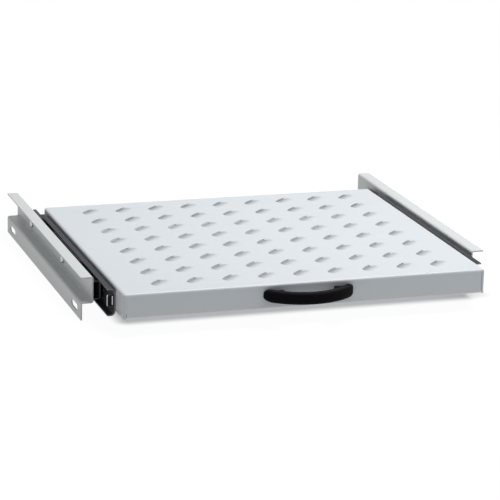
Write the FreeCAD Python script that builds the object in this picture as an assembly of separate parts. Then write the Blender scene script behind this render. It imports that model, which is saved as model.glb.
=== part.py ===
import FreeCAD, Part
import math
import os

# Sliding shelf for a rack: a vented tray on two ball-bearing slides between two slotted side brackets.
# Millimetres. +X right, +Y to the back, +Z up. The origin is the bottom centre of the shelf
# as it stands here, with the tray drawn out a little.

Vector = FreeCAD.Vector

# Whole shelf
overall_width = 450.0
pull_out = 68.0

# Side brackets, folded from one strip each
bracket_length = 353.0
bracket_height = 46.5
bracket_flange = 13.5
bracket_sheet = 1.5
bracket_bend = 1.0
step_drop = 27.0
mount_slot_length = 26.0
mount_slot_width = 7.0
mount_slot_inset = 28.0
mount_slot_rise = 9.2

# Tray, one folded sheet
tray_depth = 350.0
tray_wall_height = 26.4
tray_sheet = 1.2
tray_bend = 1.6
tray_return = 12.0
corner_seam = 0.5
corner_notch = 3.0

# Vent slots in the deck, set diagonally
vent_length = 24.0
vent_width = 8.0
vent_angle = 45.0
vent_pitch_x = 38.6
vent_pitch_y = 40.9
vent_side_margin = 42.0
vent_end_margin = 30.0
vent_end_sides = 5

# Bow handle
handle_length = 98.0
handle_reach = 27.0
handle_drop = 11.0
handle_bow_height = 12.0
handle_grip_depth = 8.5
handle_foot_length = 22.0
handle_foot_height = 12.6
handle_foot_side = 5.0
handle_bevel = 2.2
handle_foot_bevel = 1.3

# Telescopic slides
slide_length = 300.0
slide_height = 29.0
slide_thickness = 13.5
slide_sheet = 1.4
slide_bend = 1.2
channel_bend = 3.4
slide_setback = 30.0
rail_setback = 20.0
slide_axis_drop = 17.0
channel_lip_gap = 4.9
middle_lip_gap = 2.1
middle_setback = 22.0
middle_length = 292.0
race_depth = 0.45
race_edge = 2.8
inner_race_edge = 2.3
stop_lug_setback = 8.4
stop_lug_height = 12.5
stop_lug_corner = 1.5

# Balls and their cages
ball_diameter = 3.5
ball_play = 0.1
ball_sides = 8
balls_in_row = 4
pocket_play = 0.2
cage_sheet = 0.6
cage_bend = 0.6
cage_gap = 0.7
cage_lip = 1.0
middle_gap = 1.1
outer_cage_setback = 101.0
outer_cage_length = 128.0
inner_cage_setback = 91.0
inner_cage_length = 135.0

# Screws and nuts
screw_diameter = 4.0
screw_clearance = 0.25
thread_play = 0.05
screw_head_diameter = 8.0
screw_head_height = 2.6
screw_head_rim = 1.0
screw_head_crown = 1.2
screw_sides = 10
nut_width = 7.0
nut_height = 3.2
screw_tip = 1.0
rail_screw_setback = 107.0
rail_screw_pitch = 148.0
channel_screw_setback = 45.0
channel_screw_pitch = 210.0
handle_screw_depth = 8.0

# Share of the tray's travel that each slide member and cage makes
middle_share = 0.5
outer_cage_share = 0.75
inner_cage_share = 0.25

# Places worked out from the sizes above
half_width = overall_width / 2
tray_width = overall_width - 2 * (bracket_flange + slide_thickness)
half_tray = tray_width / 2
web_face = half_tray + slide_thickness
front_reach = pull_out + handle_reach
bracket_front = (front_reach - bracket_length) / 2
tray_front = bracket_front - pull_out
deck_top = bracket_height
tray_bottom = deck_top - tray_wall_height
slide_axis = deck_top - slide_axis_drop

ball_radius = ball_diameter / 2
race_radius = ball_radius + ball_play
race_gap = 2 * (race_radius - race_depth)
channel_half = slide_height / 2
middle_half = channel_half - slide_sheet - race_gap
rail_half = middle_half - slide_sheet - race_gap
outer_ball_height = middle_half + race_gap / 2
inner_ball_height = rail_half + race_gap / 2

outer_cage_face = slide_sheet + cage_gap
middle_face = outer_cage_face + cage_sheet + middle_gap
inner_cage_face = middle_face + slide_sheet + cage_gap
rail_lip = inner_cage_face + cage_sheet + cage_gap
channel_depth = slide_thickness - channel_lip_gap
middle_depth = slide_thickness - middle_lip_gap
outer_ball_reach = channel_depth - race_edge
inner_ball_reach = rail_lip + inner_race_edge

channel_front = tray_front + slide_setback
rail_front = bracket_front + rail_setback
middle_front = rail_front + middle_setback - middle_share * pull_out
outer_cage_front = rail_front + outer_cage_setback - outer_cage_share * pull_out
inner_cage_front = rail_front + inner_cage_setback - inner_cage_share * pull_out

screw_radius = screw_diameter / 2
screw_hole_radius = screw_radius + screw_clearance
rail_screw_places = [rail_front + rail_screw_setback + i * rail_screw_pitch for i in range(2)]
channel_screw_places = [channel_front + channel_screw_setback + i * channel_screw_pitch for i in range(2)]
handle_screw_place = handle_length / 2 - handle_foot_length / 2
handle_axis = deck_top - handle_drop


def box(x0, x1, y0, y1, z0, z1):
    return Part.makeBox(x1 - x0, y1 - y0, z1 - z0, Vector(x0, y0, z0))


def rounded_outline(corners):
    # Closed outline in X and Z through corners (x, z, radius), each rounded by an arc of its radius.
    edges = []
    ends = []
    count = len(corners)
    for i, (x, z, radius) in enumerate(corners):
        here = Vector(x, 0, z)
        to_last = (Vector(corners[i - 1][0], 0, corners[i - 1][1]) - here).normalize()
        after = corners[(i + 1) % count]
        to_next = (Vector(after[0], 0, after[1]) - here).normalize()
        if radius == 0:
            ends.append((here, here))
            continue
        half_turn = (math.pi - to_last.getAngle(to_next)) / 2
        tangent = radius * math.tan(half_turn)
        inward = (to_last + to_next).normalize()
        start = here + to_last * tangent
        end = here + to_next * tangent
        middle = here + inward * (radius / math.cos(half_turn) - radius)
        edges.append(Part.Arc(start, middle, end).toShape())
        ends.append((start, end))
    for i in range(count):
        start = ends[i][1]
        end = ends[(i + 1) % count][0]
        edges.append(Part.makeLine(start, end))
    return Part.Wire(Part.__sortEdges__(edges))


def folded_strip(line, sheet, bend, y0, length):
    # Sheet of one thickness folded along a line of (x, z) points on its middle plane, run along Y.
    points = [Vector(x, 0, z) for x, z in line]
    runs = [(b - a).normalize() for a, b in zip(points, points[1:])]
    sides = {1: [], -1: []}
    for side, outline in sides.items():
        for i, point in enumerate(points):
            before = runs[max(i - 1, 0)]
            after = runs[min(i, len(runs) - 1)]
            normals = [Vector(-run.z, 0, run.x) for run in (before, after)]
            middle = (normals[0] + normals[1]).normalize()
            offset = side * sheet / 2 / middle.dot(normals[0])
            turn = side * (before.x * after.z - before.z * after.x)
            radius = 0
            if bend > 0 and turn != 0:
                radius = bend if turn > 0 else bend + sheet
            place = point + middle * offset
            outline.append((place.x, place.z, radius))
    outline = rounded_outline(sides[1] + sides[-1][::-1])
    outline.translate(Vector(0, y0, 0))
    return Part.Face(outline).extrude(Vector(0, length, 0))


def slide_member(face, lip, half_height, sheet, bend, y0, length):
    # C section of the right-hand slide: its web at "face" and its flanges out to "lip", from the tray wall.
    web = half_tray + face + (sheet if lip > face else -sheet) / 2
    flange = half_height - sheet / 2
    tip = half_tray + lip
    line = [
        (tip, slide_axis + flange),
        (web, slide_axis + flange),
        (web, slide_axis - flange),
        (tip, slide_axis - flange),
    ]
    return folded_strip(line, sheet, bend, y0, length)


def races(reach, height, y0, length):
    # Ball tracks above and below the slide's axis.
    tracks = []
    for side in (1, -1):
        place = Vector(half_tray + reach, y0, slide_axis + side * height)
        tracks.append(Part.makeCylinder(race_radius, length, place, Vector(0, 1, 0)))
    return tracks


def regular_ring(radius, sides, z):
    # Corner points of a level regular polygon.
    angles = [2 * math.pi * (i + 0.5) / sides for i in range(sides)]
    return [Vector(radius * math.cos(angle), radius * math.sin(angle), z) for angle in angles]


def closed_face(points):
    return Part.Face(Part.makePolygon(points + points[:1]))


def many_sided(profile, sides):
    # Turned form with flat sides about Z, through (radius, height) points from its lowest face up.
    rings = [regular_ring(radius, sides, z) for radius, z in profile]
    faces = [closed_face(rings[0]), closed_face(rings[-1])]
    for low, high in zip(rings, rings[1:]):
        for i in range(sides):
            faces.append(closed_face([low[i - 1], low[i], high[i], high[i - 1]]))
    return Part.makeSolid(Part.makeShell(faces))


def screw_hole(length):
    # Clearance hole along +Z from zero.
    corner = screw_hole_radius / math.cos(math.pi / screw_sides)
    return many_sided([(corner, 0), (corner, length)], screw_sides)


def cross_holes(x0, x1, places):
    # Screw holes along X at the slide's axis.
    hole = screw_hole(x1 - x0)
    return [turned(hole, Vector(0, 1, 0), 90, Vector(x0, place, slide_axis)) for place in places]


def ball(centre):
    # Bearing ball with flats, its corners on the true sphere.
    step = math.pi / ball_sides
    wide, narrow = ball_radius * math.cos(step), ball_radius * math.sin(step)
    solid = many_sided([(narrow, -wide), (wide, -narrow), (wide, narrow), (narrow, wide)], ball_sides)
    solid.translate(centre)
    return solid


def ball_places(reach, height, cage_front, cage_length):
    pitch = cage_length / balls_in_row
    return [
        Vector(half_tray + reach, cage_front + (i + 0.5) * pitch, slide_axis + side * height)
        for side in (1, -1)
        for i in range(balls_in_row)
    ]


def cage(face, height, reach, cage_front, cage_length):
    # Thin U strip with one pocket for each ball.
    lip = reach + ball_radius + cage_lip
    half = height + cage_sheet / 2
    strip = slide_member(face, lip, half, cage_sheet, cage_bend, cage_front, cage_length)
    corner = (ball_radius + pocket_play) / math.cos(math.pi / ball_sides)
    hole = many_sided([(corner, -cage_sheet), (corner, cage_sheet)], ball_sides)
    pockets = []
    for place in ball_places(reach, height, cage_front, cage_length):
        pocket = hole.copy()
        pocket.translate(place)
        pockets.append(pocket)
    return strip.cut(pockets)


def pan_screw(length):
    # Pan-head screw along +Z: under-head face at zero, shank below it, crowned head above.
    rim = screw_head_diameter / 2
    profile = [
        (screw_radius, -length),
        (screw_radius, 0),
        (rim, 0),
        (rim, screw_head_rim),
        (rim - screw_head_crown, screw_head_height),
    ]
    return many_sided(profile, screw_sides)


def hex_nut():
    # Nut along +Z from zero.
    corner = nut_width / 2 / math.cos(math.pi / 6)
    bore = (screw_radius + thread_play) / math.cos(math.pi / screw_sides)
    blank = closed_face(regular_ring(corner, 6, 0)).cut(closed_face(regular_ring(bore, screw_sides, 0)))
    return blank.extrude(Vector(0, 0, nut_height))


def turned(shape, axis, degrees, place):
    copy = shape.copy()
    copy.rotate(Vector(0, 0, 0), axis, degrees)
    copy.translate(place)
    return copy


def long_slot(length, width, thickness, end_sides):
    # Level slot solid centred on the origin, along X. Its ends have this many sides, or are arcs at zero.
    half = (length - width) / 2
    radius = width / 2
    if end_sides == 0:
        bases = [Vector(side * half, 0, -thickness / 2) for side in (1, -1)]
        ends = [Part.makeCylinder(radius, thickness, base) for base in bases]
        middle = box(-half, half, -radius, radius, -thickness / 2, thickness / 2)
        return middle.fuse(ends).removeSplitter()
    points = []
    for side in (1, -1):
        for i in range(end_sides + 1):
            angle = math.pi * (i / end_sides - 0.5)
            x = side * (half + radius * math.cos(angle))
            points.append(Vector(x, side * radius * math.sin(angle), -thickness / 2))
    return closed_face(points).extrude(Vector(0, 0, thickness))


def bracket():
    # Right bracket: top flange outward, web, step outward, slotted flange down.
    half_sheet = bracket_sheet / 2
    top = bracket_height - half_sheet
    step = top - step_drop
    web = web_face + half_sheet
    lower = half_width - half_sheet
    line = [(half_width, top), (web, top), (web, step), (lower, step), (lower, 0)]
    strip = folded_strip(line, bracket_sheet, bracket_bend, bracket_front, bracket_length)
    cuts = cross_holes(web_face - bracket_sheet, web_face + 2 * bracket_sheet, rail_screw_places)
    slot = long_slot(mount_slot_length, mount_slot_width, 4 * bracket_sheet, 0)
    slot.rotate(Vector(0, 0, 0), Vector(0, 0, 1), 90)
    slot.rotate(Vector(0, 0, 0), Vector(0, 1, 0), 90)
    for place in (bracket_front + mount_slot_inset, bracket_front + bracket_length - mount_slot_inset):
        hole = slot.copy()
        hole.translate(Vector(lower, place, mount_slot_rise))
        cuts.append(hole)
    return strip.cut(cuts)


def channel():
    # Slide member on the tray wall, with a stop lug bent out of its web near the front.
    span = (channel_front, slide_length)
    section = slide_member(0, channel_depth, channel_half, slide_sheet, channel_bend, *span)
    cuts = races(outer_ball_reach, outer_ball_height, *span)
    cuts += cross_holes(half_tray - slide_sheet, half_tray + 2 * slide_sheet, channel_screw_places)
    lug_reach = rail_lip - cage_gap
    lug_rear = channel_front + stop_lug_setback
    half = stop_lug_height / 2
    root = half_tray + slide_sheet / 2
    corners = [
        (root, slide_axis - half, 0),
        (half_tray + lug_reach, slide_axis - half, stop_lug_corner),
        (half_tray + lug_reach, slide_axis + half, stop_lug_corner),
        (root, slide_axis + half, 0),
    ]
    outline = rounded_outline(corners)
    outline.translate(Vector(0, lug_rear - slide_sheet, 0))
    lug = Part.Face(outline).extrude(Vector(0, slide_sheet, 0))
    # The lug leaves a window of its own outline behind it.
    window = Part.Face(outline).extrude(Vector(0, 3 * slide_sheet, 0))
    window.rotate(Vector(half_tray, lug_rear - slide_sheet, slide_axis), Vector(0, 0, 1), 90)
    window.translate(Vector(2 * slide_sheet, slide_sheet, 0))
    return section.cut(cuts + [window]).fuse(lug).removeSplitter()


def middle_member():
    # Middle slide member, running in balls on both sides.
    span = (middle_front, middle_length)
    section = slide_member(middle_face, middle_depth, middle_half, slide_sheet, slide_bend, *span)
    cuts = races(outer_ball_reach, outer_ball_height, *span)
    cuts += races(inner_ball_reach, inner_ball_height, *span)
    return section.cut(cuts)


def rail():
    # Inner slide member on the bracket web, its flanges towards the tray.
    span = (rail_front, slide_length)
    section = slide_member(slide_thickness, rail_lip, rail_half, slide_sheet, slide_bend, *span)
    cuts = races(inner_ball_reach, inner_ball_height, *span)
    cuts += cross_holes(web_face - 2 * slide_sheet, web_face + slide_sheet, rail_screw_places)
    return section.cut(cuts)


def tray():
    # Deck with four walls turned down, returns under the front and rear walls, seams at the corners.
    rear = tray_front + tray_depth

    def block(inset, radius):
        solid = box(
            inset - half_tray,
            half_tray - inset,
            tray_front + inset,
            rear - inset,
            tray_bottom + inset,
            deck_top - inset,
        )
        folds = []
        for edge in solid.Edges:
            middle = edge.CenterOfMass
            on_top = abs(middle.z - (deck_top - inset)) < radius
            low_across = abs(middle.z - (tray_bottom + inset)) < radius and abs(middle.x) < radius
            if on_top or low_across:
                folds.append(edge)
        return solid.makeFillet(radius, folds)

    sheet_shell = block(0, tray_bend + tray_sheet).cut(block(tray_sheet, tray_bend))
    inside = half_tray - tray_sheet
    fold = tray_bend + tray_sheet
    below = tray_bottom - fold
    cuts = [box(-inside, inside, tray_front + tray_return, rear - tray_return, below, slide_axis)]
    for side in (1, -1):
        outer = side * (half_tray + fold)
        inner = side * (half_tray - corner_notch)
        x0, x1 = sorted((outer, inner))
        seam0, seam1 = sorted((outer, side * inside))
        for wall in (tray_front, rear - tray_return):
            cuts.append(box(x0, x1, wall, wall + tray_return, below, tray_bottom + tray_sheet))
        for wall in (tray_front, rear - fold):
            cuts.append(box(x0, x1, wall, wall + fold, below, tray_bottom + corner_notch))
        for wall in (tray_front + tray_sheet, rear - tray_sheet - corner_seam):
            cuts.append(box(seam0, seam1, wall, wall + corner_seam, below, deck_top - fold))
        cuts += cross_holes(seam0, seam1, channel_screw_places)
        place = Vector(side * handle_screw_place, tray_front - tray_sheet, handle_axis)
        cuts.append(turned(screw_hole(3 * tray_sheet), Vector(1, 0, 0), -90, place))
    columns = int((tray_width - 2 * vent_side_margin) / vent_pitch_x) + 1
    rows = int((tray_depth - 2 * vent_end_margin) / vent_pitch_y) + 1
    vent = long_slot(vent_length, vent_width, 4 * tray_sheet, vent_end_sides)
    vent.rotate(Vector(0, 0, 0), Vector(0, 0, 1), vent_angle)
    for column in range(columns):
        for row in range(rows):
            x = (column - (columns - 1) / 2) * vent_pitch_x
            y = tray_front + tray_depth / 2 + (row - (rows - 1) / 2) * vent_pitch_y
            slot = vent.copy()
            slot.translate(Vector(x, y, deck_top - tray_sheet / 2))
            cuts.append(slot)
    return sheet_shell.cut(cuts)


def handle():
    # Bow between two taller feet on the front wall, all in plan from one arc.
    half = handle_length / 2
    chord_rise = handle_reach - handle_foot_side
    bow_radius = (half**2 + chord_rise**2) / (2 * chord_rise)
    bow_centre = Vector(0, tray_front - handle_reach + bow_radius, 0)
    grip_radius = bow_radius - handle_grip_depth
    foot_inner = half - handle_foot_length

    def layer(height):
        ends = [Vector(side * half, tray_front - handle_foot_side, 0) for side in (-1, 1)]
        backs = [Vector(side * half, tray_front, 0) for side in (-1, 1)]
        front = Part.Arc(ends[0], Vector(0, tray_front - handle_reach, 0), ends[1]).toShape()
        rest = Part.makePolygon([ends[1], backs[1], backs[0], ends[0]])
        face = Part.Face(Part.Wire([front] + rest.Edges))
        face.translate(Vector(0, 0, handle_axis - height / 2))
        return face.extrude(Vector(0, 0, height))

    round_gap = Part.makeCylinder(grip_radius, handle_length, bow_centre)
    between_feet = box(-foot_inner, foot_inner, tray_front - handle_reach, tray_front, 0, handle_length)
    bow = layer(handle_bow_height).cut(round_gap.common(between_feet))
    arcs = [edge for edge in bow.Edges if edge.Curve.TypeId == "Part::GeomCircle"]
    bow = bow.makeChamfer(handle_bevel, [edge for edge in arcs if edge.Length > handle_foot_length])
    middle_cut = box(
        -foot_inner,
        foot_inner,
        tray_front - 2 * handle_reach,
        tray_front + handle_reach,
        handle_axis - handle_foot_height,
        handle_axis + handle_foot_height,
    )
    feet = []
    for foot in layer(handle_foot_height).cut(middle_cut).Solids:
        proud = [edge for edge in foot.Edges if tray_front - edge.CenterOfMass.y > handle_foot_bevel]
        outer = [edge for edge in proud if abs(edge.CenterOfMass.x) > foot_inner + handle_foot_bevel]
        feet.append(foot.makeChamfer(handle_foot_bevel, outer))
    solid = bow.fuse(feet).removeSplitter()
    bore_radius = screw_radius + thread_play
    bore = many_sided([(bore_radius, 0), (bore_radius, handle_screw_depth + screw_tip)], screw_sides)
    places = [Vector(side * handle_screw_place, tray_front, handle_axis) for side in (1, -1)]
    return solid.cut([turned(bore, Vector(1, 0, 0), 90, place) for place in places])


def both_sides(name, shape):
    save("right_" + name, shape)
    save("left_" + name, shape.mirror(Vector(0, 0, 0), Vector(1, 0, 0)))


def save(name, shape):
    shape.exportStep(os.path.join("parts", name + ".step"))


os.makedirs("parts", exist_ok=True)

save("tray", tray())
save("handle", handle())
both_sides("bracket", bracket())
both_sides("channel", channel())
both_sides("middle_member", middle_member())
both_sides("rail", rail())

for cage_name, cage_face, height, reach, cage_front, cage_length in (
    ("outer", outer_cage_face, outer_ball_height, outer_ball_reach, outer_cage_front, outer_cage_length),
    ("inner", inner_cage_face, inner_ball_height, inner_ball_reach, inner_cage_front, inner_cage_length),
):
    both_sides(cage_name + "_cage", cage(cage_face, height, reach, cage_front, cage_length))
    places = ball_places(reach, height, cage_front, cage_length)
    both_sides(cage_name + "_balls", Part.makeCompound([ball(place) for place in places]))

rail_screw = pan_screw(bracket_sheet + slide_sheet + nut_height + screw_tip)
rail_heads = [
    turned(rail_screw, Vector(0, 1, 0), 90, Vector(web_face + bracket_sheet, place, slide_axis))
    for place in rail_screw_places
]
both_sides("rail_screws", Part.makeCompound(rail_heads))

rail_nuts = [
    turned(hex_nut(), Vector(0, 1, 0), -90, Vector(web_face - slide_sheet, place, slide_axis))
    for place in rail_screw_places
]
both_sides("rail_nuts", Part.makeCompound(rail_nuts))

channel_screw = pan_screw(tray_sheet + slide_sheet)
channel_screws = [
    turned(channel_screw, Vector(0, 1, 0), -90, Vector(half_tray - tray_sheet, place, slide_axis))
    for place in channel_screw_places
]
both_sides("channel_screws", Part.makeCompound(channel_screws))

handle_screw = pan_screw(tray_sheet + handle_screw_depth)
handle_screw_heads = [
    Vector(side * handle_screw_place, tray_front + tray_sheet, handle_axis) for side in (1, -1)
]
handle_screws = [turned(handle_screw, Vector(1, 0, 0), -90, place) for place in handle_screw_heads]
save("handle_screws", Part.makeCompound(handle_screws))
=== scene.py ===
import math
import bmesh
import bpy
from mathutils import Matrix, Vector


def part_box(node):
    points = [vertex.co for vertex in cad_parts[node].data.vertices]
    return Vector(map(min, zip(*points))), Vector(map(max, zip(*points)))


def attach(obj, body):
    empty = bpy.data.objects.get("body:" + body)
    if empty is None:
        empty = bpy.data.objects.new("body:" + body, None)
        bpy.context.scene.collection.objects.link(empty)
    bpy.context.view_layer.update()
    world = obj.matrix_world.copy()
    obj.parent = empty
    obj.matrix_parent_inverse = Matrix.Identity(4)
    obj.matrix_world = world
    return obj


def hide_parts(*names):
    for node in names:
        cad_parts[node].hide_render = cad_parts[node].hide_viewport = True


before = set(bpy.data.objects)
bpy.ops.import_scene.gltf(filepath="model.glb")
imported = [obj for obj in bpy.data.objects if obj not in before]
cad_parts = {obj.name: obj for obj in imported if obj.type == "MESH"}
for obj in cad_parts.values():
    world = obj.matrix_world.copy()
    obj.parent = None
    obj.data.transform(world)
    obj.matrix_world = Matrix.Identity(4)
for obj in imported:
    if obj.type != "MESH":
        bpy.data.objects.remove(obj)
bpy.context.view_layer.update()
mm = 0.001
scene = bpy.context.scene
print("frame loaded:", len(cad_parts), "nodes")


class Wire:  # a shader socket that can be added up like a number
    def __init__(self, tree, socket=None):
        self.tree = tree
        self.socket = socket

    def node(self, kind, settings=None, sockets=None, out=0):
        made = self.tree.nodes.new("ShaderNode" + kind)
        for key, value in (settings or {}).items():
            if key == "stops":  # (place, grey) pairs of a ramp
                for stop, (place, grey) in zip(made.color_ramp.elements, value):
                    stop.position = place
                    stop.color = (grey, grey, grey, 1)
            else:
                setattr(made, key, value)
        for key, value in (sockets or {}).items():
            if isinstance(value, Wire):
                self.tree.links.new(value.socket, made.inputs[key])
            else:
                made.inputs[key].default_value = value
        return Wire(self.tree, made.outputs[out] if made.outputs else None)

    def maths(self, operation, first, second):
        return self.node("Math", {"operation": operation}, {0: first, 1: second})

    def __add__(self, other):
        return self.maths("ADD", self, other)

    __radd__ = __add__

    def __mul__(self, other):
        return self.maths("MULTIPLY", self, other)

    __rmul__ = __mul__

    def __sub__(self, other):
        return self.maths("SUBTRACT", self, other)

    def __rsub__(self, other):
        return self.maths("SUBTRACT", other, self)

    def __truediv__(self, other):
        return self.maths("DIVIDE", self, other)

    def __abs__(self):
        return self.maths("ABSOLUTE", self, 0)


def newFinish(name):  # an empty material, its wire, and the place on the piece
    finish = bpy.data.materials.new(name)
    finish.use_nodes = True
    finish.node_tree.nodes.clear()
    wire = Wire(finish.node_tree)
    return finish, wire, wire.node("TexCoord", {}, {}, "Object")


def closeFinish(wire, sockets):
    surface = wire.node("BsdfPrincipled", {}, sockets)
    wire.node("OutputMaterial", {}, {"Surface": surface})


noiseMiddle = 0.5  # the value that a noise varies about


def noise(wire, place, scale, detail, stretch=None):
    if stretch:
        place = wire.node("Mapping", {}, {"Vector": place, "Scale": stretch})
    return wire.node("TexNoise", {}, {"Vector": place, "Scale": scale, "Detail": detail})


def noises(wire, place, make, *names):
    return [noise(wire, place, *make[name]) for name in names]


def ramp(wire, value, low, high):  # 0 below low, 1 above high
    return wire.node("ValToRGB", {"stops": [(low, 0), (high, 1)]}, {0: value})


def softRise(wire, value, low, high):  # 0 at low, 1 at high, level at both ends
    return wire.node("MapRange", {"interpolation_type": "SMOOTHSTEP"}, {0: value, 1: low, 2: high})


def blendValue(share, first, second):  # from the first to the second
    return first * (1 - share) + second * share


def blendColour(wire, share, first, second):  # from the first to the second, each a colour or a wire
    first, second = (colour if isinstance(colour, Wire) else (*colour, 1) for colour in (first, second))
    return wire.node("Mix", {"data_type": "RGBA"}, {0: share, 6: first, 7: second}, 2)


def bumpFrom(wire, height, make):
    strength, depth = make["bump"], make["bumpDepth"]
    return wire.node("Bump", {}, {"Strength": strength, "Distance": depth, "Height": height})


def axisOf(wire, vector, axis):
    return wire.node("SeparateXYZ", {}, {0: vector}, axis)


def vectorMaths(wire, operation, first, second=(0, 0, 0), out=0):
    return wire.node("VectorMath", {"operation": operation}, {0: first, 1: second}, out)


# Painted shade in the pressed vents: the deck's colour darkens with depth below the deck towards the colour
# kept under the key dust, standing in for the shade there.
ventShadeMake = dict(
    dust=(0.34, 0.355, 0.378), begins=0.03 * mm, full=1.45 * mm, margin=3 * mm,
    noShadeUpright=0.4, fullShadeUpright=0.7,  # how far a face looks up where the painted shade begins, and where it is full
)


def ventPaintedShade(wire, place, low, high):  # painted shade: 1 on the pressed-down parts of the deck, growing with depth, 0 elsewhere
    v = ventShadeMake
    reach = (high - low) / 2 - Vector((v["margin"], v["margin"], 0))
    out = vectorMaths(wire, "ABSOLUTE", vectorMaths(wire, "SUBTRACT", place, (low + high) / 2))
    inside = vectorMaths(wire, "SUBTRACT", reach, out)
    inX, inY = (softRise(wire, axisOf(wire, inside, k), 0, v["margin"]) for k in (0, 1))
    depth = high.z - axisOf(wire, place, 2)
    upright = axisOf(wire, wire.node("TexCoord", {}, {}, "Normal"), 2)
    pressed = softRise(wire, depth, v["begins"], v["full"])
    level = softRise(wire, upright, v["noShadeUpright"], v["fullShadeUpright"])
    return pressed * level * inX * inY


powderGrain = dict(  # each noise as scale, detail and stretch
    cloud=(14, 3), dust=(160, 4), peel=(620, 1), grain=(2600, 1), scuff=(55, 2, (1, 14, 1)),
    dustShare=0.3, grainShare=0.25, scuffFrom=0.62, scuffTo=0.72, dustRough=0.12, scuffRough=0.05,
    bump=0.16, bumpDepth=0.05 * mm,
)
trayCoat = dict(light=(0.754, 0.806, 0.842), shade=(0.714, 0.766, 0.804), rough=0.35, shine=0.75)
bracketCoat = dict(light=(0.758, 0.784, 0.782), shade=(0.718, 0.744, 0.740), rough=0.40, shine=0.5)


def powderCoat(name, light, shade, rough, shine, paintVentShadeOn=None):  # sprayed: fine orange peel, faint clouds
    p = powderGrain
    finish, wire, place = newFinish(name)
    cloud, dust, peel, grain, scuff = noises(wire, place, p, "cloud", "dust", "peel", "grain", "scuff")
    scuffed = ramp(wire, scuff, p["scuffFrom"], p["scuffTo"])
    colour = blendColour(wire, blendValue(p["dustShare"], cloud, dust), shade, light)
    # painted shade: the pressed vents get a darker colour with depth
    if paintVentShadeOn:
        colour = blendColour(wire, ventPaintedShade(wire, place, *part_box(paintVentShadeOn)), colour, ventShadeMake["dust"])
    closeFinish(wire, {
        "Base Color": colour,
        "Roughness": rough + (dust - noiseMiddle) * p["dustRough"] + scuffed * p["scuffRough"],
        "Specular IOR Level": shine,
        "Normal": bumpFrom(wire, blendValue(p["grainShare"], peel, grain), p),
    })
    return finish


slideWear = dict(
    coat=(0.020, 0.022, 0.025), worn=(0.042, 0.045, 0.050), bare=(0.42, 0.41, 0.39), refraction=1.2,
    streak=(900, 2, (1, 0.02, 1)), cloud=(60, 3), fine=(1800, 2),
    trackWidth=0.75 * mm, trackLift=0.35, rubbedFrom=0.1, rubbedTo=0.9, rubbedMetal=0.9,
    streakShare=0.4, wornFrom=0.35, wornTo=0.68, rough=0.36, cloudRough=0.14, streakRough=0.08,
    fineShare=0.4, bump=0.1, bumpDepth=0.03 * mm,
)


def slideCoat(name, tracks):  # black coat, drawn along the slide and rubbed bright along the ball tracks
    s = slideWear
    finish, wire, place = newFinish(name)
    streak, cloud, fine = noises(wire, place, s, "streak", "cloud", "fine")
    across = abs(axisOf(wire, place, 0))
    rubbed = 0
    for track in tracks:
        gap = abs(across - track) / s["trackWidth"]
        rubbed = (1 - gap) * (streak + s["trackLift"]) + rubbed
    rubbed = ramp(wire, rubbed, s["rubbedFrom"], s["rubbedTo"])
    handled = ramp(wire, blendValue(s["streakShare"], cloud, streak), s["wornFrom"], s["wornTo"])
    coat = blendColour(wire, handled, s["coat"], s["worn"])
    closeFinish(wire, {
        "Base Color": blendColour(wire, rubbed, coat, s["bare"]),
        "Metallic": rubbed * s["rubbedMetal"],
        "Roughness": s["rough"] + cloud * s["cloudRough"] + streak * s["streakRough"],
        "IOR": s["refraction"],
        "Normal": bumpFrom(wire, blendValue(s["fineShare"], streak, fine), s),
    })
    return finish


edgeWear = dict(
    bareTo=1.5 * mm, coatedFrom=4 * mm, shine=0.35, burr=(700, 3, (1, 1, 0.3)), burrLift=0.5,
    rough=0.3, burrRough=0.2, bump=0.15, bumpDepth=0.03 * mm,
)


def shearedEdge(name, front):  # cut edge: bright at the slide's front end, coated further along
    e = edgeWear
    finish, wire, place = newFinish(name)
    along = axisOf(wire, place, 1)
    coated = softRise(wire, along, front + e["bareTo"], front + e["coatedFrom"])
    burr = noise(wire, place, *e["burr"])
    bright = (1 - coated) * e["shine"] * (burr + e["burrLift"])
    closeFinish(wire, {
        "Base Color": blendColour(wire, bright, slideWear["coat"], slideWear["bare"]),
        "Metallic": bright,
        "Roughness": e["rough"] + burr * e["burrRough"],
        "Normal": bumpFrom(wire, burr, e),
    })
    return finish


steelGrain = dict(
    streak=(1500, 3), cloud=(220, 3), streakShare=0.4, streakRough=0.1, cloudRough=0.08,
    bumpDepth=0.02 * mm,
)
steelKinds = dict(
    stopLugEdge=dict(
        light=(0.80, 0.79, 0.77), dark=(0.60, 0.59, 0.57), rough=0.36, stretch=(1, 1, 0.1), bump=0.2,
    ),
    cageStrip=dict(
        light=(0.62, 0.62, 0.63), dark=(0.48, 0.48, 0.49), rough=0.3, stretch=(1, 0.05, 1), bump=0.12,
    ),
    ballSteel=dict(
        light=(0.82, 0.82, 0.84), dark=(0.74, 0.74, 0.76), rough=0.12, stretch=(1, 1, 1), bump=0.02,
    ),
    screwZinc=dict(
        light=(0.66, 0.66, 0.68), dark=(0.47, 0.47, 0.50), rough=0.3, stretch=(1, 1, 1), bump=0.1,
    ),
)


def bareSteel(name):
    s = dict(steelGrain, **steelKinds[name])
    finish, wire, place = newFinish(name)
    streak = noise(wire, place, *s["streak"], s["stretch"])
    cloud = noise(wire, place, *s["cloud"])
    uneven = (streak - noiseMiddle) * s["streakRough"]
    closeFinish(wire, {
        "Base Color": blendColour(wire, blendValue(s["streakShare"], cloud, streak), s["dark"], s["light"]),
        "Metallic": 1.0,
        "Roughness": s["rough"] + uneven + (cloud - noiseMiddle) * s["cloudRough"],
        "Normal": bumpFrom(wire, streak, s),
    })
    return finish


handleSkin = dict(
    light=(0.007, 0.0058, 0.007), dark=(0.0040, 0.0034, 0.0042), cells=1900, cloud=(90, 3),
    rough=0.5, cloudRough=0.12, shine=0.03, bump=0.18, bumpDepth=0.04 * mm,
)


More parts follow.
